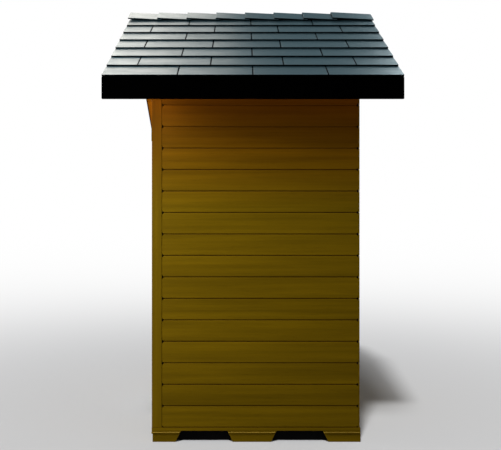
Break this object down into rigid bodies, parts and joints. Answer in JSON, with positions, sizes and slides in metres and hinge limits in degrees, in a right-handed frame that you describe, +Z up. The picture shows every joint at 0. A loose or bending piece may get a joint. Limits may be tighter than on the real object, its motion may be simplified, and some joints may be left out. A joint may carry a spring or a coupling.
{
  "type": "outdoor infrared sauna",
  "caption": "Boarded timber sauna cabin on a notched plinth, with square front corner posts, a black fascia and a shingled gable roof with lapped ridge caps.",
  "frame": {"origin": "on the ground, at the centre of the roof's outline", "axes": "+Z up, -X towards the front gable, ridge along X"},
  "size_m": [1.71, 2.274, 2.7939],
  "materials": {
    "stained_timber": "satin stain",
    "bare_timber": "planed",
    "black_trim": "satin black paint",
    "black_base": "matt black preservative",
    "roof_shingle": "satin slate",
    "door_glass": "tinted, polished",
    "hardware": "brushed"
  },
  "bodies": {
    "root": {"front_bearer": "black_base", "back_bearer": "black_base", "right_bearer": "black_base", "left_bearer": "black_base", "front_plinth": "stained_timber", "back_plinth": "stained_timber", "right_plinth": "stained_timber", "left_plinth": "stained_timber", "floor_panel": "bare_timber", "front_right_post": "stained_timber", "front_left_post": "stained_timber", "right_wall": "stained_timber", "left_wall": "stained_timber", "back_wall": "bare_timber", "back_skin": "stained_timber", "front_right_wall": "stained_timber", "front_left_wall": "stained_timber", "front_gable": "stained_timber", "door_jambs": "stained_timber", "door_head": "stained_timber", "door_threshold": "stained_timber", "glass_door": "door_glass", "door_hinges": "hardware", "handle_bar": "stained_timber", "handle_posts": "hardware", "ridge_beam": "stained_timber", "purlins": "stained_timber", "right_deck": "stained_timber", "left_deck": "stained_timber", "right_fascia": "black_trim", "left_fascia": "black_trim", "front_right_rake": "black_trim", "front_left_rake": "black_trim", "back_right_rake": "black_trim", "back_left_rake": "black_trim", "right_shingles": "roof_shingle", "left_shingles": "roof_shingle", "ridge_cap_1": "roof_shingle", "ridge_cap_2": "roof_shingle", "ridge_cap_3": "roof_shingle", "ridge_cap_4": "roof_shingle", "ridge_cap_5": "roof_shingle", "ridge_cap_6": "roof_shingle", "ridge_cap_7": "roof_shingle", "ridge_cap_8": "roof_shingle"}
  },
  "joints": []
}
